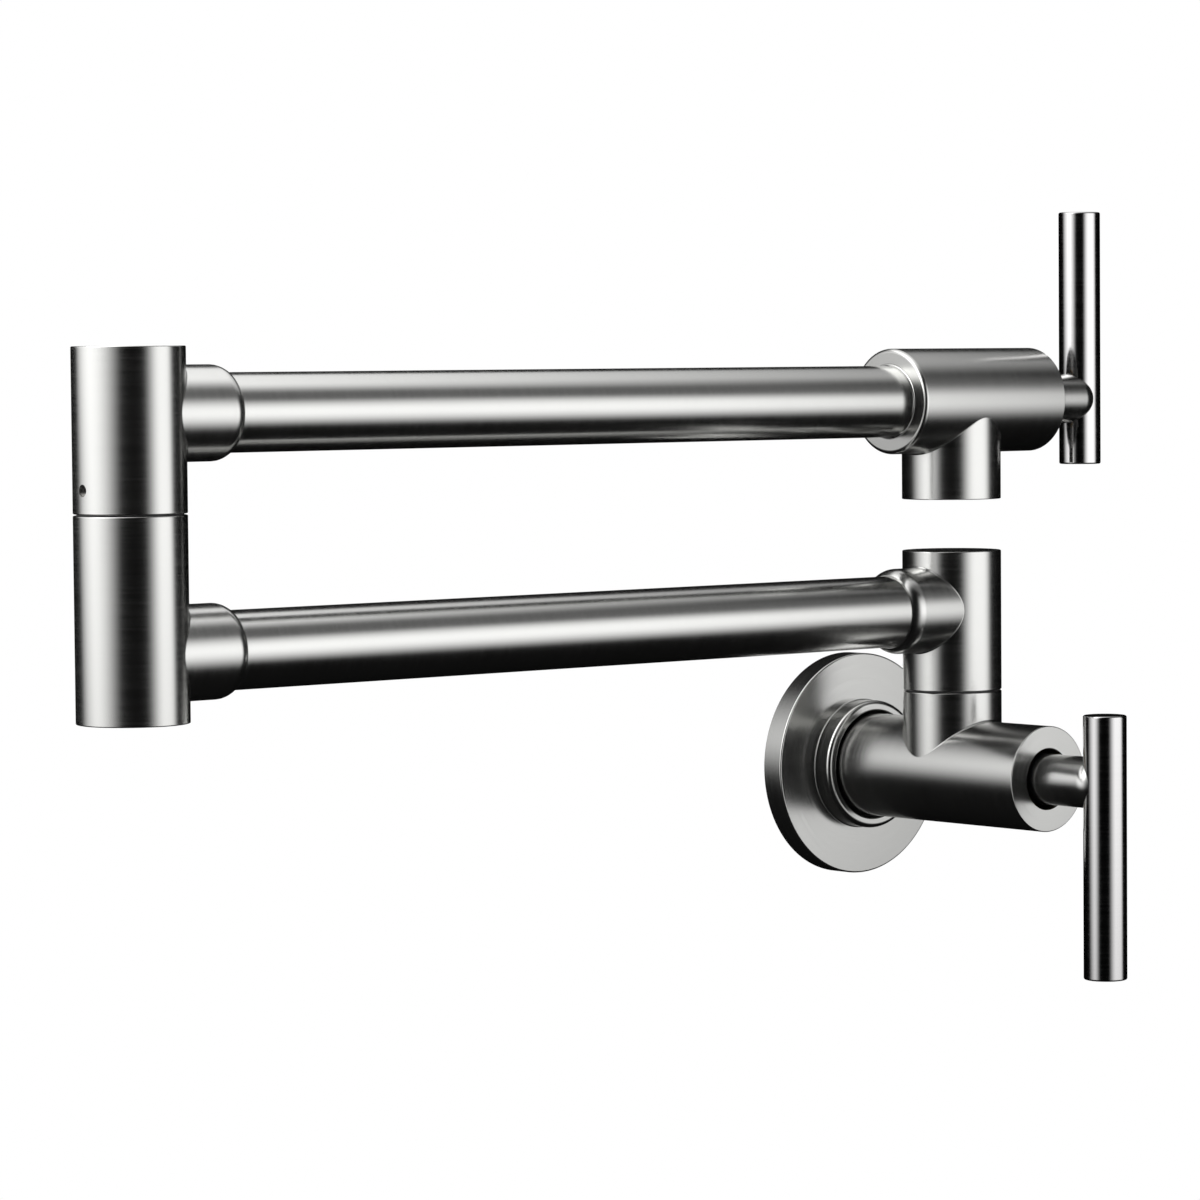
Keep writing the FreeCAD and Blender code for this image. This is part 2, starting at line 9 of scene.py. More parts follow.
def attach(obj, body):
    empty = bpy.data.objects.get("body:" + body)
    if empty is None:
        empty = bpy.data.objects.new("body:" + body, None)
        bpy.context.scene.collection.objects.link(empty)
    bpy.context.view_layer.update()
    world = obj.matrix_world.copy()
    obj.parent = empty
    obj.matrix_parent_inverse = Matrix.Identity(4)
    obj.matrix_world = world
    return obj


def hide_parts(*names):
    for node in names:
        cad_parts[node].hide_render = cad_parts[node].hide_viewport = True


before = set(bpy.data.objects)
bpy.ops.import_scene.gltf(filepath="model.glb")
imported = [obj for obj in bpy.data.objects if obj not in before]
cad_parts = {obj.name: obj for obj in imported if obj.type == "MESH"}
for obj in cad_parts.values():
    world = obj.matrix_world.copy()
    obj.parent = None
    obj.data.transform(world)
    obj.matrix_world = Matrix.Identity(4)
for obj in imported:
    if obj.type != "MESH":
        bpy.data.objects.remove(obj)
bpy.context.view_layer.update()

MM = 0.001
UP, DOWN = Vector((0, 0, 1)), Vector((0, 0, -1))
RIGHT, LEFT = Vector((1, 0, 0)), Vector((-1, 0, 0))
FROM_WALL = Vector((0, -1, 0))

# Places and heights in millimetres, from the centre of the inlet at the wall
wall_to_swivel = 44.5
arm_length = 282.75
lower_arm_height = 46.4
upper_arm_height = 105.4
wall_seam_height = 23.25
elbow_seam_height = 80.95
seam_half = 0.175
turning_gap = 0.05
swivel_place = Vector((0, -wall_to_swivel, 0))
elbow_place = Vector((-arm_length, -wall_to_swivel, 0))

# Columns, bosses and arm tubes
column_radius = 14.0
column_edge = 0.3
column_end = 16.6
boss_radius = 12.0
boss_shoulder = 3.6
boss_end_radius = 10.3
elbow_boss_reach = 27.5
swivel_boss_reach = 25.5
tube_radius = 10.0
tube_bore_radius = 8.5
socket_radius = 10.03
socket_depth = 9.0
spigot_thread_radius = 9.0
lower_bore_radius = 8.3
spigot_bore_radius = 10.95
spigot_depth = 9.0
screw_radius = 1.5
screw_height = 6.1
screw_floor = 11.0

# Beads of braze, and how deep what is added to a surface is sunk into it
braze_radius = 0.45
braze_arc_steps = 4
sunk = 0.1

# Valve bodies, with lengths along the barrel from the port's axis towards the handle
barrel_radius = 14.8
barrel_edge = 0.3
outlet_back_rounding = 1.2
supply_back, supply_face = -44.5, 37.5
outlet_back, outlet_face = -24.5, 31.5
supply_stub_top = wall_seam_height - seam_half
stub_edge = 0.3
outlet_stub_radius = 14.0
outlet_drop = 27.8
outlet_lip_edge = 0.25
bonnet_radius = 13.0
bonnet_depth = 5.0
bonnet_hole_radius = 8.5
bonnet_edge = 0.25
mouth_chamfer = 0.6
mouth_fillet = 0.5

# Inside the valves
chamber_radius = 12.1
seat_place = -8.0
seat_radius = 5.5
cage_room_radius = 10.1
cartridge_ledge = 12.62
port_radius = 6.0
inlet_radius = 9.9
inlet_depth = 16.0

# The inlet's pipe thread, with 14 ridges to the inch. Half widths are shares of the pitch
thread_pitch = 25.4 / 14
thread_depth = 0.9
thread_root_half = 0.45
thread_crest_half = 0.08
thread_steps_a_turn = 72
thread_runout_steps = 30

# Handles
stem_radius = 7.1
stem_inner = 6.5
bar_place = 21.5
dome_past_bar = 2.7
stem_screw_place = 5.0
bar_radius = 6.0
bar_edge = 0.5
bar_long, bar_short = 54.0, 19.0
bar_hole_radius = 6.03
spline_hole_radius = 4.05
spline_hole_end = 8.05

# Wall flange
flange_radius = 32.0
flange_thickness = 7.0
flange_plate = 3.0
flange_rim = 2.6
flange_edge = 0.5
hub_radius = 18.5
hub_bore = 15.6
hub_rise = 6.0
hub_rounding = 1.4
hub_foot_fillet = 0.3
rim_foot_edge = 0.2
hub_groove_place = 7.0
hub_groove_half = 1.25
hub_groove_floor = 16.86

# Aerator, from the lower face of its ring, and its seat in the outlet
aerator_radius = 11.0
aerator_depth = 9.0
aerator_recess = 0.8
aerator_outside = 10.97
aerator_inside = 9.17
aerator_lip = 8.27
aerator_ledge = 1.0
aerator_top = 6.6
aerator_edge = 0.2
key_notch_radius = 0.8

# Brushing, in millimetres. Hairlines are really about 0.08 mm wide, and are drawn coarser so that they show
hairline_width = 0.2
hairline_length = 14.0
hairline_depth = 0.0006
handled_patch = 35.0

# Roughness of the smoothest and the roughest hairlines, and what the worst handled patch adds to it
body_gloss = (0.185, 0.235)
tube_gloss = (0.165, 0.215)
bar_gloss = (0.11, 0.16)
handled_dulling = 0.03

# Most of a noise pattern lies in this middle part of its range
pattern_low, pattern_high = 0.38, 0.62

# Set, in metres
curtain_radius = 4.5
curtain_top = 4.5
dark_floor_height = -0.7
floor_height = -0.75
floor_radius = 2.4

# The share of the floor's white that is glow, and how strongly the white background lights the object
floor_glow = 0.85
fill_light = 0.35

# Softboxes: facing is the way that the light goes, and the fades are at the left, right, foot and top
softboxes = {
    "softbox_left": {
        "centre": (-0.657, 0.382, 0.08), "facing": (0.729, -0.007, -0.684), "size": (1.5, 1.84),
        "brightness": 2.72, "fades": (1.0, 0.38, 0.65, 0.45)},
    "softbox_right": {
        "centre": (0.362, -0.786, 0.161), "facing": (-0.05, 0.978, 0.204), "size": (1.47, 1.35),
        "brightness": 1.66, "fades": (0.34, 0.41, 0.44, 0.52)},
    "softbox_above": {
        "centre": (-0.423, -0.007, 0.34), "facing": (0, 0, -1), "size": (1.98, 0.42),
        "brightness": 2.257, "fades": (0.2, 0.58, 0.44, 0.14)},
    "softbox_between": {
        "centre": (0.614, -0.74, 0.477), "facing": (-0.142, 0.112, -0.984), "size": (0.59, 2.52),
        "brightness": 0.168, "fades": (0.34, 0.18, 0.13, 0.02)},
}

# Camera: its place in metres, its turn in degrees, and its lens and film in millimetres
camera_place = (-0.92543, -0.96707, 0.11667)
camera_azimuth, camera_elevation, camera_roll = -40.698, 2.947, -0.4925
lens_length = 137.64
film_width = 36

# Meshing: sides of a turned shape, fewer on a small one, and the least distance that counts, in millimetres
SIDES = 192
SMALL_SIDES = 64
small_radius = 3.0
ARC_STEP = math.radians(11)
SAME_PLACE = 1e-5
# How far a cut runs past the face that it opens
past = 1.0
# The twist of a shape that is joined or cut, as a share of one step round
JOINT_TWIST = 0.37
# A face belongs to a shape where their directions agree at least this well
least_agreement = 0.8
# An edge is sharp where the directions on its two sides are at least this far apart
crease = 0.02


# Turned shapes
def corner_entries(spot, before, after, rounding):
    """Points round one corner of an outline, each with the direction that points out of the metal there."""
    arriving = (spot - before).normalized()
    leaving = (after - spot).normalized()
    outward = Vector((arriving.y, -arriving.x))
    if not rounding:
        return [(spot, outward), (spot, Vector((leaving.y, -leaving.x)))]
    swing = math.atan2(arriving.x * leaving.y - arriving.y * leaving.x, arriving.dot(leaving))
    side = math.copysign(1, swing)
    tangent = rounding * math.tan(abs(swing) / 2)
    centre = spot - arriving * tangent - outward * rounding * side
    steps = math.ceil(abs(swing) / ARC_STEP)
    entries = []
    for step in range(steps + 1):
        turn = swing * step / steps
        sine, cosine = math.sin(turn), math.cos(turn)
        way = Vector((outward.x * cosine - outward.y * sine, outward.x * sine + outward.y * cosine))
        entries.append((centre + way * rounding * side, way))
    return entries


def outline_stretches(corners):
    """Short stretches of a closed outline in mm, with corners of (radius, height) and maybe a rounding."""
    spots = [Vector(corner[:2]) for corner in corners]
    area = sum(a.x * b.y - a.y * b.x for a, b in zip(spots, spots[1:] + spots[:1]))
    if area < 0:
        return outline_stretches(corners[::-1])
    chain = []
    for index, corner in enumerate(corners):
        rounding = corner[2] if len(corner) == 3 else 0
        after = spots[(index + 1) % len(spots)]
        chain += corner_entries(spots[index], spots[index - 1], after, rounding)
    stretches = []
    for (start, start_way), (end, end_way) in zip(chain, chain[1:] + chain[:1]):
        on_axis = start.x < SAME_PLACE and end.x < SAME_PLACE
        if not on_axis and (end - start).length > SAME_PLACE:
            stretches.append((start, end, start_way, end_way))
    return stretches


def mesh_of(name, points, faces):
    """A mesh from its points and faces."""
    mesh = bpy.data.meshes.new(name)
    mesh.from_pydata(points, [], faces)
    return mesh


def turned_mesh(name, corners, twist=0):
    """A closed mesh turned about local Z, with its true outward direction at every face corner.
    The twist, a share of one step round, keeps the edges of shapes that meet from falling on each other."""
    points, faces, outward, rings = [], [], [], {}
    widest = max(corner[0] for corner in corners)
    sides = SIDES if widest > small_radius else SMALL_SIDES
    angles = [2 * math.pi * (step + twist) / sides for step in range(sides)]
    compass = [(math.cos(a), math.sin(a)) for a in angles]

    def ring(spot):
        key = (round(spot.x, 4), round(spot.y, 4))
        if key not in rings:
            on_axis = spot.x < SAME_PLACE
            spread = compass[:1] if on_axis else compass
            rings[key] = [len(points) + index for index in range(len(spread))]
            points.extend((spot.x * c, spot.x * s, spot.y) for c, s in spread)
        return rings[key]

    for start, end, start_way, end_way in outline_stretches(corners):
        first, second = ring(start), ring(end)
        for step in range(sides):
            after = (step + 1) % sides
            loop = [(first, step, start_way), (first, after, start_way)]
            loop += [(second, after, end_way), (second, step, end_way)]
            if len(first) == 1:
                loop = loop[1:]
            elif len(second) == 1:
                loop = loop[:3]
            faces.append([circle[place % len(circle)] for circle, place, way in loop])
            for circle, place, way in loop:
                cosine, sine = compass[place]
                outward.append((way.x * cosine, way.x * sine, way.y))
    mesh = mesh_of(name, points, faces)
    mesh.shade_smooth()
    mesh.normals_split_custom_set(outward)
    return mesh


def placing(place, main, branch):
    """The frame of a piece whose local Z is its main axis and whose local X points along its branch."""
    across = main.cross(branch)
    turn = Matrix((branch, across, main)).transposed().to_4x4()
    return Matrix.Translation(place * MM) @ turn


def piece_of(name, mesh, body, nodes, placement):
    """Puts a mesh in the scene as a piece that rides on a body and stands for CAD nodes."""
    mesh.transform(Matrix.Scale(MM, 4))
    piece = bpy.data.objects.new(name, mesh)
    piece.matrix_world = placement
    bpy.context.scene.collection.objects.link(piece)
    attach(piece, body)
    if nodes:
        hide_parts(*nodes)
    return piece


# Branched castings: turned shapes joined and cut
ABOUT_MAIN = Matrix.Identity(4)
ABOUT_BRANCH = Matrix(((0, 0, 1, 0), (1, 0, 0, 0), (0, 1, 0, 0), (0, 0, 0, 1)))


def about_branch_at(height):
    """The frame of a shape turned about a line along the branch, at a height on the main axis."""
    return Matrix.Translation((0, 0, height)) @ ABOUT_BRANCH


def combined(mesh, shape, operation):
    """The mesh after one turned shape is joined to it or cut away from it."""
    placement, corners = shape
    base = bpy.data.objects.new("base", mesh)
    other = bpy.data.objects.new("other", turned_mesh("other", corners, JOINT_TWIST))
    other.matrix_world = placement
    for each in (base, other):
        bpy.context.scene.collection.objects.link(each)
    step = base.modifiers.new("join", "BOOLEAN")
    step.operation = operation
    step.solver = "EXACT"
    step.object = other
    bpy.context.view_layer.update()
    result = bpy.data.meshes.new_from_object(base.evaluated_get(bpy.context.evaluated_depsgraph_get()))
    for each in (base, other):
        leftover = each.data
        bpy.data.objects.remove(each)
        bpy.data.meshes.remove(leftover)
    return result


def face_values(items, key, width):
    """One property of all faces, points or corners of a mesh, as an array."""
    values = np.empty(len(items) * width)
    items.foreach_get(key, values)
    return values.reshape(-1, width) if width > 1 else values


def along_stretch(points, stretch):
    """How far along a stretch each (radius, height) point lies, and its distance from the stretch, in mm."""
    start, end = np.array(stretch[0]), np.array(stretch[1])
    run = end - start
    share = np.clip((points - start) @ run / (run @ run), 0, 1)
    return share, np.linalg.norm(points - start - share[:, None] * run, axis=1)


def to_outline(points, placement):
    """Points as (radius, height) about a shape's own axis, with their compass directions."""
    back = np.array(placement.inverted())
    local = points @ back[:3, :3].T + back[:3, 3]
    radius = np.hypot(local[:, 0], local[:, 1])
    compass = local[:, :2] / np.maximum(radius, SAME_PLACE)[:, None]
    return np.stack([radius, local[:, 2]], 1), compass


def direction(ways, share, compass):
    """Outward directions part of the way along a stretch, turned to each point's side of the axis."""
    way = ways[0] * (1 - share[:, None]) + ways[1] * share[:, None]
    way /= np.linalg.norm(way, axis=1)[:, None]
    return np.stack([way[:, 0] * compass[:, 0], way[:, 0] * compass[:, 1], way[:, 1]], 1)


def part_at_creases(mesh, outward):
    """Marks each edge as sharp where the faces on its two sides point different ways."""
    starts = face_values(mesh.polygons, "loop_start", 1).astype(int)
    totals = face_values(mesh.polygons, "loop_total", 1).astype(int)
    following = np.arange(len(outward)) + 1
    following[starts + totals - 1] = starts
    edges = face_values(mesh.loops, "edge_index", 1).astype(int)
    pairs = np.argsort(edges, kind="stable").reshape(-1, 2)
    near, far = pairs.T
    parted = np.linalg.norm(outward[near] - outward[following[far]], axis=1)
    parted = np.maximum(parted, np.linalg.norm(outward[following[near]] - outward[far], axis=1))
    sharp = np.zeros(len(mesh.edges), bool)
    sharp[edges[near]] = parted > crease
    mesh.edges.foreach_set("use_edge_sharp", sharp)


def give_true_directions(mesh, skins):
    """Sets each face corner's outward direction from the turned shape that the face came from.
    Faces turned about the main axis take the first material and those about the branch take the second."""
    centres = face_values(mesh.polygons, "center", 3)
    facing = face_values(mesh.polygons, "normal", 3)
    spots = face_values(mesh.vertices, "co", 3)
    corner_spot = face_values(mesh.loops, "vertex_index", 1).astype(int)
    corner_counts = face_values(mesh.polygons, "loop_total", 1).astype(int)
    corner_face = np.repeat(np.arange(len(centres)), corner_counts)
    nearest = np.full(len(centres), np.inf)
    outward = np.zeros((len(corner_spot), 3))
    material = np.zeros(len(centres), int)
    for (placement, corners), sign in skins:
        turn = np.array(placement)[:3, :3]
        middle, middle_compass = to_outline(centres, placement)
        rim, rim_compass = to_outline(spots[corner_spot], placement)
        for stretch in outline_stretches(corners):
            share, gap = along_stretch(middle, stretch)
            ways = np.array(stretch[2]), np.array(stretch[3])
            middle_way = sign * direction(ways, share, middle_compass) @ turn.T
            agreement = (middle_way * facing).sum(1)
            better = (gap < nearest - SAME_PLACE) & (agreement > least_agreement)
            nearest[better] = gap[better]
            material[better] = 0 if placement == ABOUT_MAIN else 1
            chosen = better[corner_face]
            share = along_stretch(rim[chosen], stretch)[0]
            outward[chosen] = sign * direction(ways, share, rim_compass[chosen]) @ turn.T
    mesh.polygons.foreach_set("material_index", material)
    mesh.shade_smooth()
    part_at_creases(mesh, outward)
    mesh.normals_split_custom_set(outward)


def carved_mesh(name, joined, cut):
    """One closed mesh from turned shapes, each a frame and an outline."""
    first_outline = joined[0][1]
    mesh = turned_mesh(name, first_outline)
    for shape in joined[1:]:
        mesh = combined(mesh, shape, "UNION")
    for shape in cut:
        mesh = combined(mesh, shape, "DIFFERENCE")
    give_true_directions(mesh, [(shape, 1) for shape in joined] + [(shape, -1) for shape in cut])
    mesh.name = name
    return mesh


# Materials
def linear(code):
    """A linear colour from an sRGB hex value."""
    values = [int(code[place:place + 2], 16) / 255 for place in (1, 3, 5)]
    return [v / 12.92 if v <= 0.04045 else ((v + 0.055) / 1.055) ** 2.4 for v in values] + [1]


def add(tree, kind, inputs=None, **settings):
    """Adds a node with its settings, and sets or links its inputs."""
    node = tree.nodes.new(kind)
    for key, value in settings.items():
        setattr(node, key, value)
    for key, value in (inputs or {}).items():
        if isinstance(value, bpy.types.NodeSocket):
            tree.links.new(value, node.inputs[key])
        else:
            node.inputs[key].default_value = value
    return node


def new_material(name):
    """A node material with its surface shader ready."""
    material = bpy.data.materials.new(name)
    material.use_nodes = True
    tree = material.node_tree
    return material, tree, tree.nodes["Principled BSDF"]


def brushing_lines(tree, axis):
    """Noise drawn out into hairlines that run round an axis of the piece."""
    across = [0 if letter == axis else 1 for letter in "XYZ"]
    place = add(tree, "ShaderNodeTexCoord").outputs["Object"]
    sides = add(tree, "ShaderNodeVectorMath", {0: place, 1: across}, operation="MULTIPLY").outputs[0]
    radius = add(tree, "ShaderNodeVectorMath", {0: sides}, operation="LENGTH").outputs["Value"]
    along = add(tree, "ShaderNodeSeparateXYZ", {0: place}).outputs[axis]
    travel = add(tree, "ShaderNodeMath", {0: along, 1: radius}, operation="ADD").outputs[0]
    width = hairline_width * MM
    line = add(tree, "ShaderNodeMath", {0: travel, 1: width}, operation="DIVIDE").outputs[0]
    step = add(tree, "ShaderNodeCombineXYZ", {axis: line}).outputs[0]
    drawing = {0: sides, "Scale": 1 / (hairline_length * MM)}
    drawn_out = add(tree, "ShaderNodeVectorMath", drawing, operation="SCALE").outputs[0]
    where = add(tree, "ShaderNodeVectorMath", {0: drawn_out, 1: step}, operation="ADD").outputs[0]
    return add(tree, "ShaderNodeTexNoise", {"Vector": where, "Scale": 1, "Detail": 1}).outputs[0]


def patches(tree, size):
    """Soft patches of a size in millimetres, from 0 to 1 and about 0.5 on the whole."""
    place = add(tree, "ShaderNodeTexCoord").outputs["Object"]
    noise = {"Vector": place, "Scale": 1 / (size * MM), "Detail": 3}
    return add(tree, "ShaderNodeTexNoise", noise).outputs[0]


def finish_surface(tree, shader, pattern, dark, light, gloss, relief):
    """Colour, roughness and relief in millimetres that all follow one pattern."""
    colour = add(tree, "ShaderNodeMix", {0: pattern, 6: linear(dark), 7: linear(light)}, data_type="RGBA")
    rough = add(tree, "ShaderNodeMapRange", {
        "Value": pattern, "From Min": pattern_low, "From Max": pattern_high,
        "To Min": gloss[0], "To Max": gloss[1]})
    bumps = add(tree, "ShaderNodeBump", {"Height": pattern, "Strength": 1, "Distance": relief * MM})
    tree.links.new(colour.outputs[2], shader.inputs["Base Color"])
    tree.links.new(rough.outputs[0], shader.inputs["Roughness"])
    tree.links.new(bumps.outputs[0], shader.inputs["Normal"])
    return rough.outputs[0]


def brushed_nickel(name, axis, gloss, dark="#C6C6C4", light="#CFCFCD"):
    """Nickel plate brushed round the axis that the piece was turned about. The eye sees soft-edged bands of
    light along each cylinder, a faint grain of hairlines across them and patches dulled by handling."""
    material, tree, shader = new_material(name)
    lines = brushing_lines(tree, axis)
    shader.inputs["Metallic"].default_value = 1
    rough = finish_surface(tree, shader, lines, dark, light, gloss, hairline_depth)
    dulled = {0: patches(tree, handled_patch), 1: handled_dulling, 2: rough}
    dull = add(tree, "ShaderNodeMath", dulled, operation="MULTIPLY_ADD")
    tree.links.new(dull.outputs[0], shader.inputs["Roughness"])
    return material


def plain_material(name, dark, light, gloss, grain, relief, metallic=0):
    """A material whose colour, gloss and relief vary softly over a grain. Grain and relief in millimetres."""
    material, tree, shader = new_material(name)
    shader.inputs["Metallic"].default_value = metallic
    finish_surface(tree, shader, patches(tree, grain), dark, light, gloss, relief)
    return material


nickel_about_main = brushed_nickel("nickel_brushed", "Z", body_gloss)
nickel_about_branch = brushed_nickel("nickel_brushed_branch", "X", body_gloss)
tube_nickel = brushed_nickel("nickel_tube_brushed", "Z", tube_gloss)
bar_nickel = brushed_nickel("nickel_fine_brushed", "Z", bar_gloss, "#CBCACA", "#D4D3D3")

# What each slot's CAD nodes are made of
cad_materials = {
    "brushed_nickel": nickel_about_main,
    "handle_bar_nickel": bar_nickel,
    # Brass from the lathe: warm and bright, with a little tarnish
    "brass": plain_material(
        "brass_turned", "#B98F4E", "#D9B876", gloss=(0.2, 0.38), grain=4, relief=0.004, metallic=1),
    # Stainless steel screws: grey, with a dull machined gloss
    "screw_steel": plain_material(
        "stainless_machined", "#83827F", "#9F9E9C", gloss=(0.3, 0.45), grain=0.6, relief=0.01, metallic=1),
    # Moulded rubber: nearly black, with a fine matte skin
    "seal_rubber": plain_material(
        "rubber_moulded", "#191919", "#262626", gloss=(0.55, 0.75), grain=0.5, relief=0.02),
    # Filled PTFE: dark grey and waxy
    "seam_washer_ptfe": plain_material(
        "ptfe_filled", "#2C2C2D", "#3B3B3C", gloss=(0.4, 0.55), grain=0.8, relief=0.01),
    # Lapped alumina: off-white, with a silky gloss
    "disc_ceramic": plain_material(
        "alumina_lapped", "#E6E3DA", "#F1EFE8", gloss=(0.22, 0.32), grain=0.7, relief=0.002),
    # Moulded acetal: pale grey, with a soft even gloss
    "aerator_plastic": plain_material(
        "acetal_moulded", "#CFCFCC", "#DEDEDB", gloss=(0.32, 0.45), grain=1.2, relief=0.006),
}


def dress_cad_nodes():
    """Gives every CAD node the material of its slot."""
    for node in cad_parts.values():
        for place in node.material_slots:
            slot = place.material.name.split(".")[0]
            place.material = cad_materials[slot]


# Pieces
def nickel_piece(name, mesh, body, placement, nodes=(), finish=None):
    """A brushed nickel piece, with its grain round its own axes."""
    for material in [finish] if finish else [nickel_about_main, nickel_about_branch]:
        mesh.materials.append(material)
    return piece_of(name, mesh, body, nodes, placement)


def cylinder_outline(radius, bottom, top, edge=0):
    """A plain round bar, with its edges broken by a small rounding where it has one."""
    broken = (edge,) if edge else ()
    return [(0, bottom), (radius, bottom, *broken), (radius, top, *broken), (0, top)]


def braze_bead(name, main_radius, branch_radius):
    """A closed thread of braze that fills the corner where a branch along X leaves a cylinder along Z."""
    points, faces = [], []
    width = braze_arc_steps + 2
    for step in range(SIDES):
        angle = 2 * math.pi * step / SIDES
        from_branch = Vector((0, math.cos(angle), math.sin(angle)))
        middle = from_branch * (branch_radius + braze_radius)
        middle.x = math.sqrt((main_radius + braze_radius) ** 2 - middle.y ** 2)
        from_main = Vector((middle.x, middle.y, 0)).normalized()
        half = from_branch.angle(from_main) / 2
        inward = (from_branch + from_main).normalized()
        # The bead's hidden root lies a little inside both cylinders
        root = braze_radius / math.cos(half) + braze_radius / 4
        for place in range(braze_arc_steps + 1):
            way = from_branch.slerp(from_main, place / braze_arc_steps)
            points.append(middle - way * braze_radius)
        points.append(middle - inward * root)
    for step in range(SIDES):
        here = step * width
        after = (step + 1) % SIDES * width
        for place in range(width):
            following = (place + 1) % width
            faces.append((here + place, here + following, after + following, after + place))
    mesh = mesh_of(name, points, faces)
    mesh.shade_smooth()
    return mesh


def boss_outline(reach):
    """A boss whose end curves in to a narrow flat ring round the arm tube."""
    drop = boss_radius - boss_end_radius
    curve = (drop ** 2 + boss_shoulder ** 2) / (2 * drop)
    corner = reach - boss_shoulder + curve * math.tan(math.asin(boss_shoulder / curve) / 2)
    return [(0, 0), (boss_radius, 0), (boss_radius, corner, curve), (boss_end_radius, reach), (0, reach)]


def column(name, body, place, side, bottom, top, reach, bore, screw_at=None):
    """An upright column with a round-shouldered boss that holds an arm tube."""
    socket_start = reach - socket_depth
    outside = [
        (ABOUT_MAIN, cylinder_outline(column_radius, bottom, top, column_edge)),
        (ABOUT_BRANCH, boss_outline(reach)),
    ]
    hollows = [
        (ABOUT_MAIN, bore),
        (ABOUT_BRANCH, [
            (0, 0), (tube_bore_radius, 0), (tube_bore_radius, socket_start), (socket_radius, socket_start),
            (socket_radius, reach + past), (0, reach + past)]),
    ]
    if screw_at is not None:
        screw_hole = cylinder_outline(screw_radius, -column_radius - past, -screw_floor)
        hollows.append((about_branch_at(screw_at), screw_hole))
    placement = placing(place, UP, side)
    casting = carved_mesh(name, outside, hollows)
    bead = braze_bead(name + "_braze", column_radius, boss_radius)
    nickel_piece(name + "_casting", casting, body, placement, [name])
    nickel_piece(name + "_braze", bead, body, placement)


def columns():
    """The two halves of the elbow and the column that swivels at the wall."""
    lower_centre = elbow_place + UP * lower_arm_height
    upper_centre = elbow_place + UP * upper_arm_height
    swivel_centre = swivel_place + UP * lower_arm_height
    upper_bottom = elbow_seam_height + seam_half + turning_gap - upper_arm_height
    swivel_bottom = wall_seam_height + seam_half + turning_gap - lower_arm_height
    lower_top = elbow_seam_height - seam_half - lower_arm_height
    thread_start = lower_top - spigot_depth
    roof = tube_bore_radius + past
    lower_bore = [
        (0, -roof), (lower_bore_radius, -roof), (lower_bore_radius, thread_start),
        (spigot_thread_radius, thread_start), (spigot_thread_radius, lower_top + past), (0, lower_top + past)]
    column("lower_elbow", "lower_arm", lower_centre, RIGHT, -column_end, lower_top, elbow_boss_reach,
           lower_bore)
    column("upper_elbow", "upper_arm", upper_centre, RIGHT, upper_bottom, column_end, elbow_boss_reach,
           cylinder_outline(spigot_bore_radius, upper_bottom - past, roof),
           elbow_seam_height + screw_height - upper_arm_height)
    column("swivel_column", "lower_arm", swivel_centre, LEFT, swivel_bottom, column_end, swivel_boss_reach,
           cylinder_outline(spigot_bore_radius, swivel_bottom - past, roof),
           wall_seam_height + screw_height - lower_arm_height)


def arm_tube(name, body, height, start, end):
    """A drawn tube, brazed into the sockets at its ends."""
    outline = [(tube_bore_radius, start), (tube_radius, start), (tube_radius, end), (tube_bore_radius, end)]
    placement = placing(swivel_place + UP * height, RIGHT, UP)
    nickel_piece(name + "_brushed", turned_mesh(name, outline), body, placement, [name], finish=tube_nickel)


def arm_tubes():
    """The tubes of the lower and the upper arm."""
    start = elbow_boss_reach - socket_depth - arm_length
    arm_tube("lower_arm_tube", "lower_arm", lower_arm_height, start, socket_depth - swivel_boss_reach)
    arm_tube("upper_arm_tube", "upper_arm", upper_arm_height, start, socket_depth + outlet_back)


def valve_chamber(face):
    """The stepped hollow from a valve's seat out through its face."""
    ledge = face - bonnet_depth
    return [
        (seat_radius, seat_place), (cage_room_radius, seat_place), (cage_room_radius, cartridge_ledge),
        (chamber_radius, cartridge_ledge), (chamber_radius, ledge), (bonnet_radius, ledge),
        (bonnet_radius, face + past), (0, face + past)]


def supply_valve():
    """The valve at the wall, with its upright stub and its threaded inlet."""
    inlet_end = supply_back + inlet_depth
    thread_start = supply_stub_top - spigot_depth
    outside = [
        (ABOUT_MAIN, cylinder_outline(barrel_radius, supply_back, supply_face, barrel_edge)),
        (ABOUT_BRANCH, cylinder_outline(column_radius, 0, supply_stub_top, stub_edge)),
    ]
    hollows = [
        (ABOUT_MAIN, [
            (0, supply_back - past), (inlet_radius, supply_back - past), (inlet_radius, inlet_end),
            (seat_radius, inlet_end), *valve_chamber(supply_face)]),
        (ABOUT_BRANCH, [
            (0, 0), (port_radius, 0), (port_radius, thread_start), (spigot_thread_radius, thread_start),
            (spigot_thread_radius, supply_stub_top + past), (0, supply_stub_top + past)]),
    ]
    placement = placing(swivel_place, FROM_WALL, UP)
    casting = carved_mesh("supply_valve", outside, hollows)
    bead = braze_bead("supply_braze", barrel_radius, column_radius)
    nickel_piece("supply_valve_casting", casting, "wall_unit", placement, ["supply_valve_body"])
    nickel_piece("supply_valve_braze", bead, "wall_unit", placement)
    nickel_piece("inlet_thread", inlet_thread(), "wall_unit", placement)


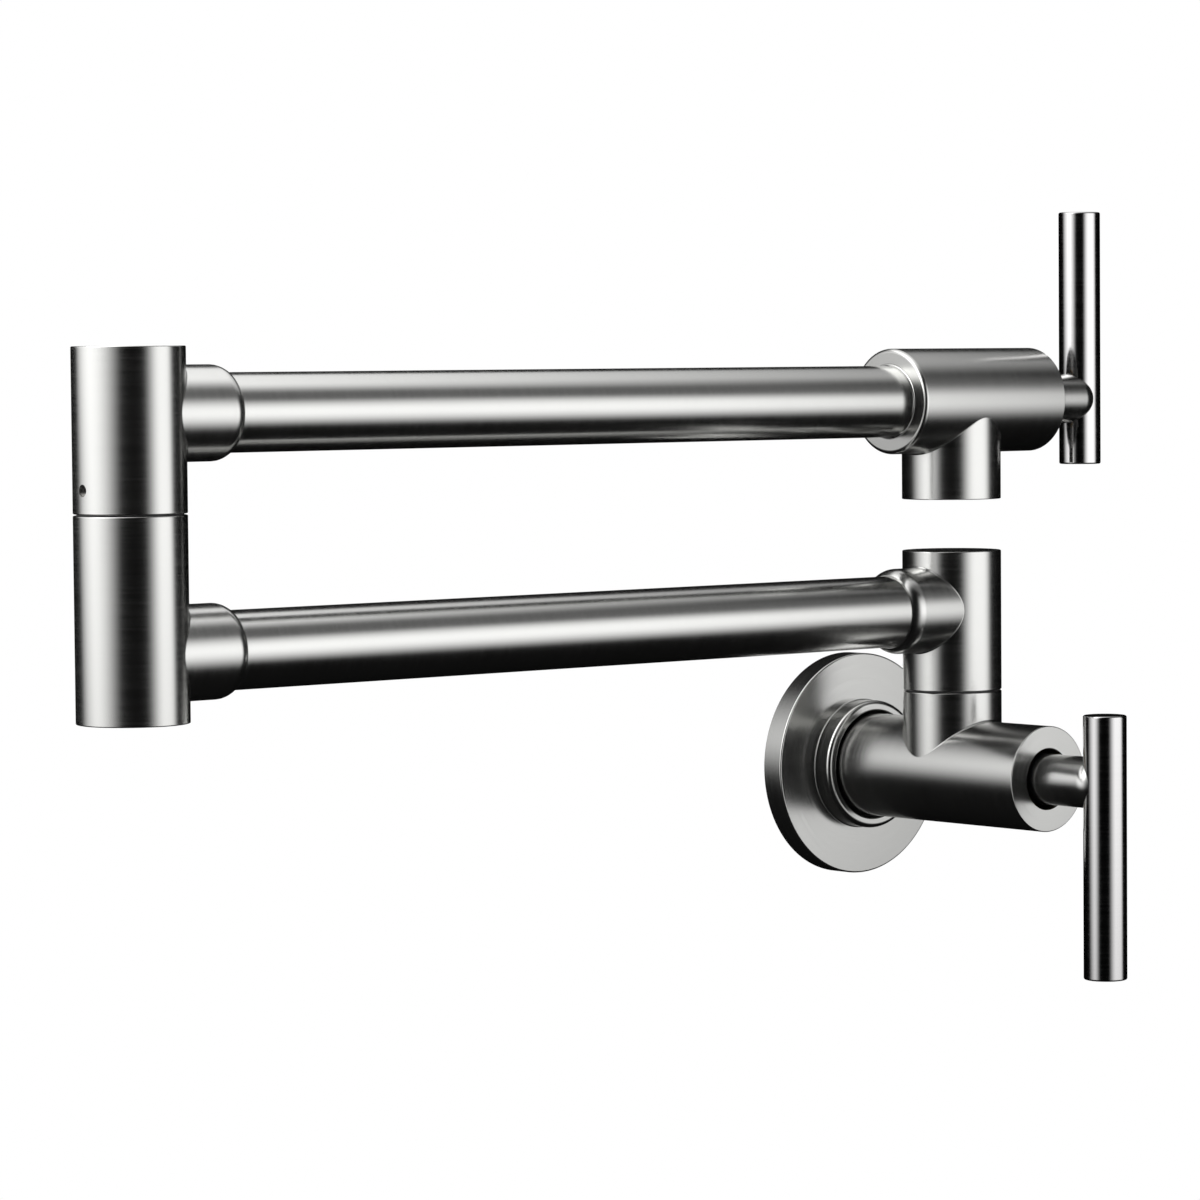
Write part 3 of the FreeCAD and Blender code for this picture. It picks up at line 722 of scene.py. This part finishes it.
def outlet_valve():
    """The valve at the arm's end, with its outlet stub and the mouth that the tube goes into."""
    socket_end = outlet_back + socket_depth
    aerator_start = outlet_drop - aerator_depth
    outside = [
        (ABOUT_MAIN, [
            (0, outlet_back), (barrel_radius, outlet_back, outlet_back_rounding),
            (barrel_radius, outlet_face, barrel_edge), (0, outlet_face)]),
        (ABOUT_BRANCH, cylinder_outline(outlet_stub_radius, 0, outlet_drop, outlet_lip_edge)),
    ]
    mouth_radius = socket_radius + 2 * mouth_chamfer
    hollows = [
        (ABOUT_MAIN, [
            (0, outlet_back - mouth_chamfer), (mouth_radius, outlet_back - mouth_chamfer),
            (socket_radius, outlet_back + mouth_chamfer), (socket_radius, socket_end),
            (seat_radius, socket_end), *valve_chamber(outlet_face)]),
        (ABOUT_BRANCH, [
            (0, 0), (port_radius, 0), (port_radius, aerator_start), (aerator_radius, aerator_start),
            (aerator_radius, outlet_drop + past), (0, outlet_drop + past)]),
    ]
    placement = placing(swivel_place + UP * upper_arm_height, RIGHT, DOWN)
    casting = carved_mesh("outlet_valve", outside, hollows)
    bead = braze_bead("outlet_braze", barrel_radius, outlet_stub_radius)
    nickel_piece("outlet_valve_casting", casting, "upper_arm", placement, ["outlet_valve_body"])
    nickel_piece("outlet_valve_braze", bead, "upper_arm", placement)
    nickel_piece("outlet_mouth_braze", mouth_braze(), "upper_arm", placement)


def mouth_braze():
    """A hollow fillet of braze round the arm tube, where it enters the outlet valve."""
    inside, outside = tube_radius - sunk, tube_radius + mouth_fillet
    start, end = outlet_back - mouth_fillet, outlet_back + mouth_chamfer / 2
    return turned_mesh("outlet_mouth_braze", [
        (inside, start), (tube_radius, start), (tube_radius, outlet_back, mouth_fillet),
        (outside, outlet_back), (outside, end), (inside, end)])


def inlet_thread():
    """The female pipe thread that the wall's nipple screws into: one ridge that winds up the inlet's bore."""
    turns = (inlet_depth - 2 * thread_pitch) / thread_pitch
    count = int(turns * thread_steps_a_turn)
    root = inlet_radius + sunk
    points, faces = [], []
    for step in range(count + 1):
        angle = 2 * math.pi * step / thread_steps_a_turn
        height = supply_back + thread_pitch * (1 + step / thread_steps_a_turn)
        fade = min(1, step / thread_runout_steps, (count - step) / thread_runout_steps)
        crest = inlet_radius - thread_depth * fade
        section = [
            (root, -thread_root_half), (crest, -thread_crest_half), (crest, thread_crest_half),
            (root, thread_root_half)]
        for radius, rise in section:
            points.append((radius * math.cos(angle), radius * math.sin(angle), height + thread_pitch * rise))
    for step in range(count):
        for place in range(4):
            first, second = step * 4 + place, step * 4 + (place + 1) % 4
            faces.append((first, first + 4, second + 4, second))
    faces.append((0, 1, 2, 3))
    faces.append(tuple(count * 4 + place for place in (3, 2, 1, 0)))
    return mesh_of("inlet_thread", points, faces)


def bonnet(name, body, placement):
    """The ring that closes a valve's front round the handle's stem."""
    outline = [
        (bonnet_hole_radius, -bonnet_depth), (bonnet_radius, -bonnet_depth), (bonnet_radius, 0),
        (bonnet_hole_radius, 0, bonnet_edge)]
    nickel_piece(name + "_ring", turned_mesh(name, outline), body, placement, [name])


def handle(name, body, face_centre, outward, long_side):
    """A stem with a domed end and the bar through it. The stem's outline starts inside the valve."""
    tip = bar_place + dome_past_bar
    stem = [(ABOUT_MAIN, [
        (0, -stem_inner), (stem_radius, -stem_inner), (stem_radius, tip, stem_radius), (0, tip)])]
    reach = stem_radius + past
    hollows = [
        (about_branch_at(bar_place), cylinder_outline(bar_hole_radius, -reach, reach)),
        (about_branch_at(stem_screw_place), cylinder_outline(screw_radius, 0, reach)),
        (ABOUT_MAIN, cylinder_outline(spline_hole_radius, -stem_inner - past, spline_hole_end)),
    ]
    stem_name, bar_name = name + "_handle_stem", name + "_handle_bar"
    placement = placing(face_centre, outward, long_side)
    nickel_piece(stem_name + "_turned", carved_mesh(stem_name, stem, hollows), body, placement, [stem_name])
    bar = turned_mesh(bar_name, cylinder_outline(bar_radius, -bar_short, bar_long, bar_edge))
    bar_centre = placing(face_centre + outward * bar_place, long_side, outward)
    nickel_piece(bar_name + "_turned", bar, body, bar_centre, [bar_name], bar_nickel)


def handles():
    """Both handles, with the bonnets that they stand in."""
    supply_front = swivel_place + FROM_WALL * supply_face
    outlet_front = swivel_place + UP * upper_arm_height + RIGHT * outlet_face
    bonnet("supply_bonnet", "wall_unit", placing(supply_front, FROM_WALL, DOWN))
    bonnet("outlet_bonnet", "upper_arm", placing(outlet_front, RIGHT, UP))
    handle("supply", "supply_handle", supply_front, FROM_WALL, DOWN)
    handle("outlet", "outlet_handle", outlet_front, RIGHT, UP)


def wall_flange():
    """The plate against the wall, hollow behind, whose hub goes round the valve and holds its seal ring."""
    recess = flange_thickness - flange_plate
    front = flange_thickness + hub_rise
    rim_inside = flange_radius - flange_rim
    ring_top, ring_bottom = hub_groove_place + hub_groove_half, hub_groove_place - hub_groove_half
    outline = [
        (hub_bore, 0), (hub_radius, 0), (hub_radius, recess), (rim_inside, recess), (rim_inside, 0),
        (flange_radius, 0, rim_foot_edge), (flange_radius, flange_thickness, flange_edge),
        (hub_radius, flange_thickness, hub_foot_fillet), (hub_radius, front, hub_rounding),
        (hub_bore, front, flange_edge), (hub_bore, ring_top), (hub_groove_floor, ring_top),
        (hub_groove_floor, ring_bottom), (hub_bore, ring_bottom)]
    placement = placing(Vector((0, 0, 0)), FROM_WALL, DOWN)
    plate = turned_mesh("wall_flange", outline)
    nickel_piece("wall_flange_turned", plate, "wall_unit", placement, ["wall_flange"])


def aerator():
    """The outlet's threaded ring, with four half-round notches for the key that screws it in."""
    ring = [(ABOUT_MAIN, [
        (aerator_lip, 0, aerator_edge), (aerator_outside, 0, aerator_edge), (aerator_outside, aerator_top),
        (aerator_inside, aerator_top), (aerator_inside, aerator_ledge), (aerator_lip, aerator_ledge)])]
    along = cylinder_outline(key_notch_radius, -aerator_radius - past, aerator_radius + past)
    notches = [(ABOUT_BRANCH, along), (Matrix.Rotation(math.pi / 2, 4, "Z") @ ABOUT_BRANCH, along)]
    placement = placing(swivel_place + UP * (upper_arm_height - outlet_drop + aerator_recess), UP, RIGHT)
    housing = carved_mesh("aerator_housing", ring, notches)
    nickel_piece("aerator_housing_turned", housing, "upper_arm", placement, ["aerator_housing"])


# Studio
def softbox(name, centre, facing, size, brightness, fades):
    """A rectangular lamp that is evenly bright in the middle and fades to nothing at its edges.
    The fades are shares of its width at its left and right, and of its height at its foot and top."""
    lamp = bpy.data.lights.new(name, "AREA")
    lamp.shape = "RECTANGLE"
    lamp.size, lamp.size_y = size
    lamp.energy = brightness * math.pi * size[0] * size[1]
    lamp.use_nodes = True
    tree = lamp.node_tree
    spot = add(tree, "ShaderNodeNewGeometry").outputs["Parametric"]
    across, upward = add(tree, "ShaderNodeSeparateXYZ", {0: spot}).outputs[:2]
    left, right, foot, top = fades
    ramps = ((across, 0, left), (across, 1, 1 - right), (upward, 0, foot), (upward, 1, 1 - top))
    share = 1
    for place, dark, bright in ramps:
        rise = add(tree, "ShaderNodeMapRange", {"Value": place, "From Min": dark, "From Max": bright},
                   interpolation_type="SMOOTHSTEP")
        share = add(tree, "ShaderNodeMath", {0: rise.outputs[0], 1: share}, operation="MULTIPLY").outputs[0]
    tree.links.new(share, tree.nodes["Emission"].inputs["Strength"])
    box = bpy.data.objects.new(name, lamp)
    box.location = centre
    box.rotation_euler = Vector(facing).to_track_quat("-Z", "Y").to_euler()
    box.visible_camera = False
    bpy.context.scene.collection.objects.link(box)


def stage_piece(name, points, faces, material):
    """A piece of the set, which is no part of the object."""
    mesh = mesh_of(name, points, faces)
    mesh.materials.append(material)
    piece = bpy.data.objects.new(name, mesh)
    bpy.context.scene.collection.objects.link(piece)
    return piece


def seen_by_metal_only(piece):
    """Hides a piece of the set from all but reflections."""
    piece.visible_camera = False
    piece.visible_diffuse = False
    piece.visible_shadow = False
    piece.visible_transmission = False


def curtain_wall(steps=24):
    """Points and faces of a curtain that hangs all round the set."""
    points, faces = [], []
    for step in range(steps):
        angle = 2 * math.pi * step / steps
        x, y = curtain_radius * math.cos(angle), curtain_radius * math.sin(angle)
        points += [(x, y, dark_floor_height), (x, y, curtain_top)]
        here = 2 * step
        after = 2 * ((step + 1) % steps)
        faces.append((here, after, after + 1, here + 1))
    return points, faces


def disc(radius, height, steps=64):
    """Points and the one face of a level disc."""
    angles = [2 * math.pi * step / steps for step in range(steps)]
    return [(radius * math.cos(a), radius * math.sin(a), height) for a in angles], [tuple(range(steps))]


def dark_set():
    """Black velvet all round, below and above, so that the metal mirrors only the softboxes."""
    velvet = plain_material("velvet_black", "#020202", "#050505", gloss=(0.9, 1.0), grain=3, relief=0.1)
    shapes = {
        "curtain": curtain_wall(),
        "dark_floor": disc(curtain_radius, dark_floor_height),
        "dark_ceiling": disc(curtain_radius, curtain_top),
    }
    for name, (points, faces) in shapes.items():
        seen_by_metal_only(stage_piece(name, points, faces, velvet))


def background_share(tree):
    """1 for what the camera, mirrors and glass see of the background, and 0 for what lights the object."""
    path = add(tree, "ShaderNodeLightPath").outputs
    mirrored = {0: path["Is Camera Ray"], 1: path["Is Glossy Ray"]}
    seen = add(tree, "ShaderNodeMath", mirrored, operation="ADD").outputs[0]
    through_glass = {0: seen, 1: path["Is Transmission Ray"]}
    return add(tree, "ShaderNodeMath", through_glass, operation="ADD", use_clamp=True).outputs[0]


def white_world():
    """A white background that lights the object only a little."""
    world = bpy.data.worlds.new("white_sweep")
    world.use_nodes = True
    bpy.context.scene.world = world
    tree = world.node_tree
    levels = {"Value": background_share(tree), "To Min": fill_light, "To Max": 1}
    strength = add(tree, "ShaderNodeMapRange", levels)
    background = tree.nodes["Background"]
    background.inputs["Color"].default_value = linear("#FFFFFF")
    tree.links.new(strength.outputs[0], background.inputs["Strength"])


def paper_floor():
    """Matte white paper far below, white to the camera but for the object's faint shadow."""
    material, tree, shader = new_material("paper_white")
    fibres = patches(tree, size=2)
    finish_surface(tree, shader, fibres, "#EFEFEE", "#F6F6F5", gloss=(0.85, 0.95), relief=0.02)
    glow = add(tree, "ShaderNodeEmission", {"Color": linear("#FFFFFF"), "Strength": 1})
    share = add(tree, "ShaderNodeMath", {0: background_share(tree), 1: floor_glow}, operation="MULTIPLY")
    mixed = add(tree, "ShaderNodeMixShader", {0: share.outputs[0], 1: shader.outputs[0], 2: glow.outputs[0]})
    tree.links.new(mixed.outputs[0], tree.nodes["Material Output"].inputs["Surface"])
    stage_piece("floor", *disc(floor_radius, floor_height), material)


def studio():
    """Softboxes in a dark set, over a white floor and in front of a white background."""
    for name, settings in softboxes.items():
        softbox(name, **settings)
    dark_set()
    white_world()
    paper_floor()


def photo_camera():
    """The photograph's viewpoint: a long lens a little above the tap, towards its left front."""
    angles = (camera_azimuth, camera_elevation, camera_roll)
    azimuth, elevation, roll = (math.radians(angle) for angle in angles)
    level_back = Vector((math.sin(azimuth), -math.cos(azimuth), 0))
    back = level_back * math.cos(elevation) + UP * math.sin(elevation)
    level = Vector((math.cos(azimuth), math.sin(azimuth), 0))
    above = back.cross(level)
    across = level * math.cos(roll) + above * math.sin(roll)
    upright = above * math.cos(roll) - level * math.sin(roll)
    camera = bpy.data.objects.new("camera", bpy.data.cameras.new("camera"))
    camera.data.sensor_width = film_width
    camera.data.lens = lens_length
    turn = Matrix((across, upright, back)).transposed().to_4x4()
    camera.matrix_world = Matrix.Translation(camera_place) @ turn
    bpy.context.scene.collection.objects.link(camera)
    bpy.context.scene.camera = camera


dress_cad_nodes()
columns()
arm_tubes()
supply_valve()
outlet_valve()
handles()
wall_flange()
aerator()
studio()
photo_camera()
bpy.context.scene.view_settings.view_transform = "Standard"
